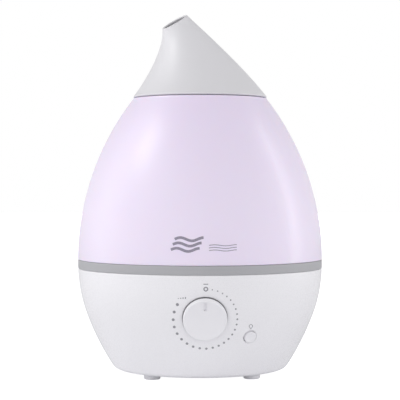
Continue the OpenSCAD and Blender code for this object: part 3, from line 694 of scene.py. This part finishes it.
def print_mist_mark():
    bold, fine = [], []
    for row in range(3):
        slant = 1.6 * row
        bold.append(stroke(wave(-28.2 + slant, -4.6 + slant, 114.0 + 4.3 * row, 1.3), 2.2, wrap_tank))
        fine.append(stroke(wave(3, 26, 113.4 + 2.1 * row, 0.45, 24), 0.6, wrap_tank))
    return join("mist_mark", bold), join("mist_lines", fine)


mist_mark, mist_lines = print_mist_mark()
print("mist mark:", len(mist_mark.data.polygons) + len(mist_lines.data.polygons), "faces")

# %% [markdown]
# Most of the pieces inside already have the right shape in the frame, but a CAD mesh is loose
# triangles with hard shading. The ones that show when the tank, the nozzle or the filler cap is
# lifted get a finished copy: the copy is merged, its edges are broken a little with a bevel, and its
# rounds are shaded smooth.

# %% Finished copies of the inner pieces
def finished_copy(node, soft):
    source = nodes[node]
    copy = source.copy()
    copy.data = source.data.copy()
    copy.name = copy.data.name = f"{node}_finished"
    copy.parent = None
    bpy.context.collection.objects.link(copy)
    only(copy)
    bpy.ops.object.mode_set(mode="EDIT")
    bpy.ops.mesh.select_all(action="SELECT")
    bpy.ops.mesh.remove_doubles(threshold=MM / 200)
    bpy.ops.mesh.dissolve_limited(angle_limit=math.radians(0.5))
    bpy.ops.object.mode_set(mode="OBJECT")
    apply_modifier(copy, "BEVEL", width=soft * MM, segments=2, limit_method="ANGLE",
                   angle_limit=math.radians(50), use_clamp_overlap=True)
    apply_modifier(copy, "TRIANGULATE")
    return smooth(copy, degrees=30)


COPIED = {"deck_rim": 0.5, "basin_floor": 0.3, "air_chimney": 0.4, "bottom_cover": 0.3, "tank_floor": 0.3,
          "tank_handle": 0.5, "mist_tube": 0.3, "nozzle_collar": 0.4, "filler_cap": 0.3, "cap_seal": 0.3,
          "float_ring": 0.4}
copies = {node: finished_copy(node, soft) for node, soft in COPIED.items()}
for node, copy in copies.items():
    print(copy.name, len(copy.data.polygons), "faces")

# %% [markdown]
# Every finish is built from nodes, so that it has grain and drift at any distance. Colours are
# written the way a colour picker shows them and turned to linear light by one function. One helper
# adds a node: what it is given as inputs is linked when it is another node's output and set when it
# is a number.

# %% Helpers for finishes
def linear(hex_colour):
    channels = [int(hex_colour[i:i + 2], 16) / 255 for i in (1, 3, 5)]
    return (*[c / 12.92 if c <= 0.04045 else ((c + 0.055) / 1.055) ** 2.4 for c in channels], 1.0)


def add(tree, kind, inputs, **settings):
    node = tree.nodes.get(kind) or tree.nodes.new(kind)
    for key, value in settings.items():
        setattr(node, key, value)
    for socket, value in inputs.items():
        if isinstance(value, bpy.types.NodeSocket):
            tree.links.new(value, node.inputs[socket])
        else:
            node.inputs[socket].default_value = value
    return node


def new_finish(name):
    """A fresh material's tree, and the place on the object that its patterns are laid out from."""
    material = bpy.data.materials.new(name)
    material.use_nodes = True
    tree = material.node_tree
    return material, tree, add(tree, "ShaderNodeTexCoord", {}).outputs["Object"]


def per_metre(millimetres):
    """The scale of a texture whose pattern repeats over this length."""
    return 1 / (millimetres * MM)


print("white is", [round(c, 2) for c in linear("#f4f4f6")])

# %% [markdown]
# Moulded plastic is never perfectly even. Its colour drifts a little where the melt flowed, and the
# steel of the mould leaves a fine grain that breaks up the gloss. The grain of a polished mould is
# finer than can be seen, so it is drawn about half a millimetre wide and very shallow.

# %% A skin from a mould
def moulded(name, light, dark, roughness, grain=0.5, depth=0.002, drift=70, **sockets):
    """Colour drifts over drift mm; a grain that is grain mm wide and depth mm deep breaks up the gloss."""
    material, tree, place = new_finish(name)
    cloud = add(tree, "ShaderNodeTexNoise", {"Vector": place, "Scale": per_metre(drift), "Detail": 2.0})
    colour = add(tree, "ShaderNodeMixRGB", {"Fac": cloud.outputs["Fac"], "Color1": linear(light),
                                            "Color2": linear(dark)})
    skin = add(tree, "ShaderNodeTexNoise", {"Vector": place, "Scale": per_metre(grain), "Detail": 3.0})
    gloss = add(tree, "ShaderNodeMapRange", {"Value": skin.outputs["Fac"], "To Min": roughness - 0.05,
                                             "To Max": roughness + 0.05})
    bump = add(tree, "ShaderNodeBump", {"Height": skin.outputs["Fac"], "Distance": depth * MM})
    shader = {"Base Color": colour.outputs["Color"], "Roughness": gloss.outputs["Result"],
              "Normal": bump.outputs["Normal"]}
    add(tree, "Principled BSDF", shader | {key.replace("_", " "): value for key, value in sockets.items()})
    return material


finishes = {}
print("moulded skins are ready")

# %% [markdown]
# The base, the nozzle, the dial and the button are ABS, moulded in polished steel. That gives a clean
# white with a broad soft gloss. The controls are a bit more matt, so that they can be gripped, and the
# nozzle is more matt still. The nozzle's white is painted a shade greyer than the base's, as painted
# shade over the whole nozzle.

# %% Polished white ABS
finishes["base_white"] = moulded("ABS moulded in polished steel", "#f3f2f6", "#eeedf1", 0.28,
                                 Coat_Weight=0.25, Coat_Roughness=0.12, IOR=1.54)
# The nozzle's colours are darker than the base's: painted shade.
finishes["nozzle_white"] = moulded("ABS nozzle moulded in polished steel", "#dddce0", "#d9d8dc", 0.4,
                                   Coat_Weight=0.15, Coat_Roughness=0.3, IOR=1.54)
finishes["control_white"] = moulded("ABS control with satin face", "#f2f1f5", "#ecebf0", 0.32, depth=0.003,
                                    Coat_Weight=0.1, Coat_Roughness=0.2, IOR=1.54)
print(len(finishes), "white finishes")

# %% [markdown]
# The tank is frosted polypropylene with a lavender tint. Light enters the wall and comes out again a
# little further on, so it looks soft and full. Its colour is painted a little darker towards the top,
# as painted shade on the upper part of the dome. A slope in height, mixed with the usual drift, gives
# that.

# %% Frosted lavender polypropylene
def frosted_tank():
    material, tree, place = new_finish("Polypropylene, tinted and frosted")
    height = add(tree, "ShaderNodeSeparateXYZ", {"Vector": place})
    # The colour is painted darker towards the seam: painted shade on the tank's top.
    slope = add(tree, "ShaderNodeMapRange", {"Value": height.outputs["Z"], "From Min": BAND_TOP * MM,
                                             "From Max": SEAM_Z * MM})
    tint_and_painted_shade = add(tree, "ShaderNodeMixRGB", {"Fac": slope.outputs["Result"], "Color1": linear("#ede3f6"),
                                          "Color2": linear("#e9dcf4")})
    cloud = add(tree, "ShaderNodeTexNoise", {"Vector": place, "Scale": per_metre(90), "Detail": 2.0})
    milky = add(tree, "ShaderNodeMixRGB", {"Fac": cloud.outputs["Fac"], "Color1": tint_and_painted_shade.outputs["Color"],
                                           "Color2": linear("#ece1f6")})
    frost = add(tree, "ShaderNodeTexNoise", {"Vector": place, "Scale": per_metre(0.6), "Detail": 3.0})
    gloss = add(tree, "ShaderNodeMapRange", {"Value": frost.outputs["Fac"], "To Min": 0.34, "To Max": 0.46})
    bump = add(tree, "ShaderNodeBump", {"Height": frost.outputs["Fac"], "Distance": 0.002 * MM})
    add(tree, "Principled BSDF", {"Base Color": milky.outputs["Color"],
                                  "Roughness": gloss.outputs["Result"],
                                  "Normal": bump.outputs["Normal"], "IOR": 1.49,
                                  "Coat Weight": 0.4, "Coat Roughness": 0.26,
                                  "Subsurface Weight": 0.12, "Subsurface Scale": 2.5 * MM})
    return material


finishes["tank_lavender"] = frosted_tank()
print("tank finish:", finishes["tank_lavender"].name)

# %% [markdown]
# The other plastics and rubbers differ in how they were moulded. A spark-eroded mould gives the satin
# of the band and the dead matt of inner parts. Glass filled nylon, in the fan and the sockets, is
# dark and a bit grainy. The rubbers are the mattest of all, and their grain is coarse enough to see.

# %% Satin plastics, rubber and jackets
finishes["band_grey"] = moulded("ABS with spark-eroded satin", "#b2b2b6", "#ababaf", 0.5, depth=0.006,
                                 Specular_IOR_Level=0.3)
finishes["inner_plastic"] = moulded("Polypropylene, fine matt mould", "#e6e6ea", "#dcdce1", 0.5,
                                    depth=0.01, IOR=1.49)
finishes["dark_plastic"] = moulded("Nylon, glass filled", "#2f2f33", "#242427", 0.5,
                                   grain=0.8, depth=0.02, drift=15)
finishes["foot_rubber"] = moulded("TPE rubber foot", "#eeedf1", "#e4e3e8", 0.62,
                                  grain=0.7, depth=0.02, drift=6)
# Dark grey ring as painted shade: it stands for the shadow in the gap round the dial.
gap_shade = moulded("Dark ring, painted shade in the dial's gap", "#77767b", "#626166", 0.9, grain=0.8, depth=0.05, drift=3)
finishes["seal_rubber"] = moulded("Silicone rubber seal", "#5e5e62", "#525256", 0.55,
                                  grain=0.7, depth=0.015, drift=8)
finishes["part_blue"] = moulded("PVC shrink sleeve", "#43547a", "#38466a", 0.28,
                                grain=1.5, depth=0.02, drift=6)
finishes["wire_black"] = moulded("PVC jacket, extruded black", "#26262a", "#1c1c1f", 0.4,
                                 grain=0.6, depth=0.01, drift=9)
finishes["wire_colour"] = moulded("PVC jacket, extruded red", "#b9463a", "#a63a2f", 0.38,
                                  grain=0.6, depth=0.01, drift=9)
print(len(finishes), "finishes so far")

# %% [markdown]
# The marks are pad printed: a soft pad presses a thin film of ink onto the finished moulding. The
# film is matt, and it is never quite even, which shows as small pale spots in the ink.

# %% Pad-printed ink
def pad_print(name, ink, worn):
    material, tree, place = new_finish(name)
    film = add(tree, "ShaderNodeTexNoise", {"Vector": place, "Scale": per_metre(0.9), "Detail": 4.0})
    spots = add(tree, "ShaderNodeMapRange", {"Value": film.outputs["Fac"], "From Min": 0.5,
                                             "From Max": 0.75})
    colour = add(tree, "ShaderNodeMixRGB", {"Fac": spots.outputs["Result"], "Color1": linear(ink),
                                            "Color2": linear(worn)})
    gloss = add(tree, "ShaderNodeMapRange", {"Value": film.outputs["Fac"], "To Min": 0.45, "To Max": 0.6})
    add(tree, "Principled BSDF", {"Base Color": colour.outputs["Color"],
                                  "Roughness": gloss.outputs["Result"]})
    return material


tank_ink = pad_print("Ink, pad printed on the tank", "#8f8899", "#a29bab")
base_ink = pad_print("Ink, pad printed on the base", "#929197", "#aaa9af")
print("inks:", tank_ink.name, "and", base_ink.name)

# %% [markdown]
# Metals keep the default index of refraction and get their look from reflections. Zinc plating is
# made of small crystals, so its tone is cloudy. Rolled aluminium has fine lines along the way it was
# rolled: a noise that is stretched forty times in one direction. The ring of the transducer is turned
# brass, with rings around its centre.

# %% Metals
def cloudy_metal(name, light, dark, roughness, size, stretch=(1, 1, 1)):
    material, tree, place = new_finish(name)
    turned = add(tree, "ShaderNodeMapping", {"Vector": place, "Scale": stretch})
    cloud = add(tree, "ShaderNodeTexNoise", {"Vector": turned.outputs["Vector"], "Scale": per_metre(size),
                                             "Detail": 4.0})
    colour = add(tree, "ShaderNodeMixRGB", {"Fac": cloud.outputs["Fac"], "Color1": linear(light),
                                            "Color2": linear(dark)})
    gloss = add(tree, "ShaderNodeMapRange", {"Value": cloud.outputs["Fac"], "To Min": roughness - 0.08,
                                             "To Max": roughness + 0.08})
    bump = add(tree, "ShaderNodeBump", {"Height": cloud.outputs["Fac"], "Distance": 0.004 * MM})
    add(tree, "Principled BSDF", {"Base Color": colour.outputs["Color"],
                                  "Roughness": gloss.outputs["Result"],
                                  "Normal": bump.outputs["Normal"], "Metallic": 1.0})
    return material


finishes["screw_steel"] = cloudy_metal("Steel, zinc plated", "#c9cbd0", "#a9abb2", 0.34, 0.8)
finishes["clamp_metal"] = cloudy_metal("Aluminium, rolled", "#d6d8dc", "#bfc1c7", 0.36, 12, (1, 40, 1))


def per_band(millimetres):
    """A wave texture draws twenty bands in the length where other textures repeat once."""
    return per_metre(millimetres) / 20


def turned_brass():
    material, tree, place = new_finish("Brass, turned")
    rings = add(tree, "ShaderNodeTexWave", {"Vector": place, "Scale": per_band(0.5), "Distortion": 0.2},
                wave_type="RINGS", rings_direction="Z")
    colour = add(tree, "ShaderNodeMixRGB", {"Fac": rings.outputs["Fac"], "Color1": linear("#d9c184"),
                                            "Color2": linear("#c5ab6c")})
    bump = add(tree, "ShaderNodeBump", {"Height": rings.outputs["Fac"], "Distance": 0.005 * MM})
    add(tree, "Principled BSDF", {"Base Color": colour.outputs["Color"], "Normal": bump.outputs["Normal"],
                                  "Roughness": 0.28, "Metallic": 1.0})
    return material


finishes["disc_brass"] = turned_brass()
print(len(finishes), "finishes so far")

# %% [markdown]
# The circuit boards are glass fibre under green solder mask, with the copper tracks showing through
# as paler lines. A cell pattern's edges make good tracks once its cells are nearly square. The coil
# is enamelled wire: bands at the pitch of the wire, painted darker in the grooves between the turns as
# painted shade. The foams are cells as well: open and dark in the filter, whose near black pores are
# painted shade, closed and pale in the float.

# %% Boards, winding and foams
def solder_mask():
    material, tree, place = new_finish("Glass fibre board, green solder mask")
    cells = add(tree, "ShaderNodeTexVoronoi", {"Vector": place, "Scale": per_metre(3), "Randomness": 0.35},
                feature="DISTANCE_TO_EDGE")
    track = add(tree, "ShaderNodeMath", {0: cells.outputs["Distance"], 1: 0.09}, operation="LESS_THAN")
    colour = add(tree, "ShaderNodeMixRGB", {"Fac": track.outputs["Value"], "Color1": linear("#1f6b3c"),
                                            "Color2": linear("#3f8a55")})
    bump = add(tree, "ShaderNodeBump", {"Height": track.outputs["Value"], "Distance": 0.03 * MM})
    add(tree, "Principled BSDF", {"Base Color": colour.outputs["Color"], "Normal": bump.outputs["Normal"],
                                  "Roughness": 0.3, "IOR": 1.55})
    return material


def winding():
    material, tree, place = new_finish("Copper wire, enamelled")
    bands = add(tree, "ShaderNodeTexWave", {"Vector": place, "Scale": per_band(0.6), "Distortion": 0.4},
                bands_direction="Z")
    # The darker colour falls in the grooves between the turns: painted shade.
    colour = add(tree, "ShaderNodeMixRGB", {"Fac": bands.outputs["Fac"], "Color1": linear("#6e3d20"),
                                            "Color2": linear("#b9703f")})
    bump = add(tree, "ShaderNodeBump", {"Height": bands.outputs["Fac"], "Distance": 0.1 * MM})
    add(tree, "Principled BSDF", {"Base Color": colour.outputs["Color"], "Normal": bump.outputs["Normal"],
                                  "Roughness": 0.3, "Metallic": 0.8})
    return material


def foam(name, cell_size, wall, hollow, depth, roughness):
    material, tree, place = new_finish(name)
    cells = add(tree, "ShaderNodeTexVoronoi", {"Vector": place, "Scale": per_metre(cell_size)})
    colour = add(tree, "ShaderNodeMixRGB", {"Fac": cells.outputs["Distance"], "Color1": linear(hollow),
                                            "Color2": linear(wall)})
    bump = add(tree, "ShaderNodeBump", {"Height": cells.outputs["Distance"], "Distance": depth * MM})
    add(tree, "Principled BSDF", {"Base Color": colour.outputs["Color"], "Normal": bump.outputs["Normal"],
                                  "Roughness": roughness})
    return material


finishes["board_green"] = solder_mask()
finishes["coil_copper"] = winding()
# The filter's near black cell hollows are painted shade in its open pores.
finishes["filter_foam"] = foam("Polyurethane, open cell foam", 1.2, "#5c5c60", "#1d1d1f", 0.5, 0.95)
finishes["float_foam"] = foam("Polypropylene, closed cell foam", 2.4, "#e2ddcf", "#f2efe6", 0.08, 0.7)
print(len(finishes), "finishes so far")

# %% [markdown]
# The night light's lens and the lamp are clear resin. It is moulded smooth, so what tells it from air
# is a clean reflection and a slight bend of what is behind it. Faint flow lines keep it from looking
# computed.

# %% Clear resin
def clear_resin():
    material, tree, place = new_finish("Polycarbonate, clear")
    flow = add(tree, "ShaderNodeTexNoise", {"Vector": place, "Scale": per_metre(5), "Detail": 1.0})
    gloss = add(tree, "ShaderNodeMapRange", {"Value": flow.outputs["Fac"], "To Min": 0.03, "To Max": 0.12})
    add(tree, "Principled BSDF", {"Base Color": linear("#f6f5f0"), "Roughness": gloss.outputs["Result"],
                                  "IOR": 1.58, "Transmission Weight": 0.85})
    return material


finishes["led_clear"] = clear_resin()
print(len(finishes), "finishes in all")

# %% [markdown]
# Now the pieces are put to work. Each one rides on the body that it moves with, stands for the node
# whose shape it refines, and takes its finish. Nodes that are kept as they are get the same finishes
# in their own slots.

# %% Bodies, nodes and finishes
slot_of = {row["node"]: row["material_slot"] for row in frame["record"]["subparts"]}
bodies = frame["record"]["behaviour"]["bodies"]
body_of = {node: body for body, members in bodies.items() for node in members}


def wear(obj, material):
    obj.data.materials.clear()
    obj.data.materials.append(material)


def stand_for(piece, node):
    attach(piece, body_of[node])
    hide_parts(node)
    wear(piece, finishes[slot_of[node]])


def printed_on(piece, node, ink):
    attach(piece, body_of[node])
    wear(piece, ink)


for node, obj in nodes.items():
    for place in obj.material_slots:
        place.material = finishes[slot_of[node]]

outside = {"base_shell": base_body, "trim_ring": grey_band, "tank_shell": tank_body, "mist_nozzle": nozzle,
           "knob": dial, "light_button": light_cap}
outside |= {f"foot_{index + 1}": foot for index, foot in enumerate(rubber_feet)}
for node, piece in (outside | copies).items():
    stand_for(piece, node)
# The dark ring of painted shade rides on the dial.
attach(dial_gap_shade, "knob")
wear(dial_gap_shade, gap_shade)
for piece in (dial_scale, base_pictures):
    printed_on(piece, "base_shell", base_ink)
for piece in (mist_mark, mist_lines):
    printed_on(piece, "tank_shell", tank_ink)
finer = len(outside) + len(copies)
print(finer, "nodes have a finer piece,", len(nodes) - finer, "are kept")

# %% [markdown]
# The studio is plain: a white floor and a white surround, so that the shape is read from its soft
# shading. Seen by the camera the surround is full white. The light that it gives to the object is
# another matter: it is strongest low in front, and weaker overhead and behind, so that the silhouette
# stays a little darker than the white around it.

# %% Floor and surround
def only_seen(tree, given, seen):
    """A strength that is one value for the camera and another for the light that meets the object."""
    ray = add(tree, "ShaderNodeLightPath", {})
    return add(tree, "ShaderNodeMapRange", {"Value": ray.outputs["Is Camera Ray"], "To Min": given,
                                            "To Max": seen}).outputs["Result"]


def make_floor():
    clear_selection()
    bpy.ops.mesh.primitive_plane_add(size=12, location=(0, 0, 0))
    floor = named("floor")
    material, tree, place = new_finish("Painted studio floor")
    rolled = add(tree, "ShaderNodeTexNoise", {"Vector": place, "Scale": per_metre(4), "Detail": 2.0})
    bump = add(tree, "ShaderNodeBump", {"Height": rolled.outputs["Fac"], "Distance": 0.02 * MM})
    add(tree, "Principled BSDF", {"Base Color": linear("#e0e0e2"), "Normal": bump.outputs["Normal"],
                                  "Roughness": 0.7, "Specular IOR Level": 0.1,
                                  "Emission Color": linear("#ffffff"),
                                  "Emission Strength": only_seen(tree, 0.1, 0.9)})
    wear(floor, material)


def make_surround(horizon=1.39, overhead=0.26, in_front=1.2, behind=0.62):
    world = bpy.data.worlds.new("studio")
    world.use_nodes = True
    tree = world.node_tree
    direction = add(tree, "ShaderNodeTexCoord", {}).outputs["Generated"]
    split = add(tree, "ShaderNodeSeparateXYZ", {"Vector": direction})
    level = add(tree, "ShaderNodeMapRange", {"Value": split.outputs["Z"], "To Min": horizon,
                                             "To Max": overhead})
    depth = add(tree, "ShaderNodeMapRange", {"Value": split.outputs["Y"], "From Min": -1.0,
                                             "To Min": in_front, "To Max": behind})
    given = add(tree, "ShaderNodeMath", {0: level.outputs["Result"], 1: depth.outputs["Result"]},
                operation="MULTIPLY")
    strength = only_seen(tree, given.outputs["Value"], 1.0)
    add(tree, "Background", {"Color": linear("#ffffff"), "Strength": strength})
    bpy.context.scene.world = world


make_floor()
make_surround()
bpy.context.scene.view_settings.view_transform = "Standard"
print("floor and surround are in place")

# %% [markdown]
# A large soft box stands to the left and gives the broad highlight there. A narrow strip to the right
# draws a thin line along that edge. A small box high on the left shapes the nozzle, which faces up
# more than the rest does.

# %% Lights
def soft_box(name, position, width, height, power, aim=(0, 0, 0.15)):
    clear_selection()
    bpy.ops.object.light_add(type="AREA", location=position)
    lamp = bpy.context.object
    lamp.name = name
    lamp.data.shape = "RECTANGLE"
    lamp.data.size, lamp.data.size_y = width, height
    lamp.data.energy = power
    lamp.rotation_euler = (Vector(aim) - Vector(position)).to_track_quat("-Z", "Y").to_euler()
    return lamp


soft_box("left_box", (-1.25, 0.2, 0.62), 0.8, 1.3, 2.7)
soft_box("right_strip", (1.2, 0.1, 0.5), 0.24, 1.3, 3.2)
soft_box("upper_left", (-0.95, -0.25, 1.05), 0.45, 0.45, 3.2, aim=(0, 0, 0.28))

# %% [markdown]
# The camera stands 1.23 m in front and a little to the left, just above the middle of the object. A
# long lens from there keeps the ellipses of the band and of the base almost flat.

# %% Camera
def make_camera(distance=1.233, azimuth=math.radians(2.3), height=0.1699, aim=0.153, lens=124.9):
    position = Vector((-distance * math.sin(azimuth), -distance * math.cos(azimuth), height))
    clear_selection()
    bpy.ops.object.camera_add(location=position)
    camera = bpy.context.object
    camera.rotation_euler = (Vector((0, 0, aim)) - position).to_track_quat("-Z", "Y").to_euler()
    camera.data.lens = lens
    camera.data.sensor_width = 36
    bpy.context.scene.camera = camera
    return camera


camera = make_camera()
print("camera at", [round(v, 3) for v in camera.location])
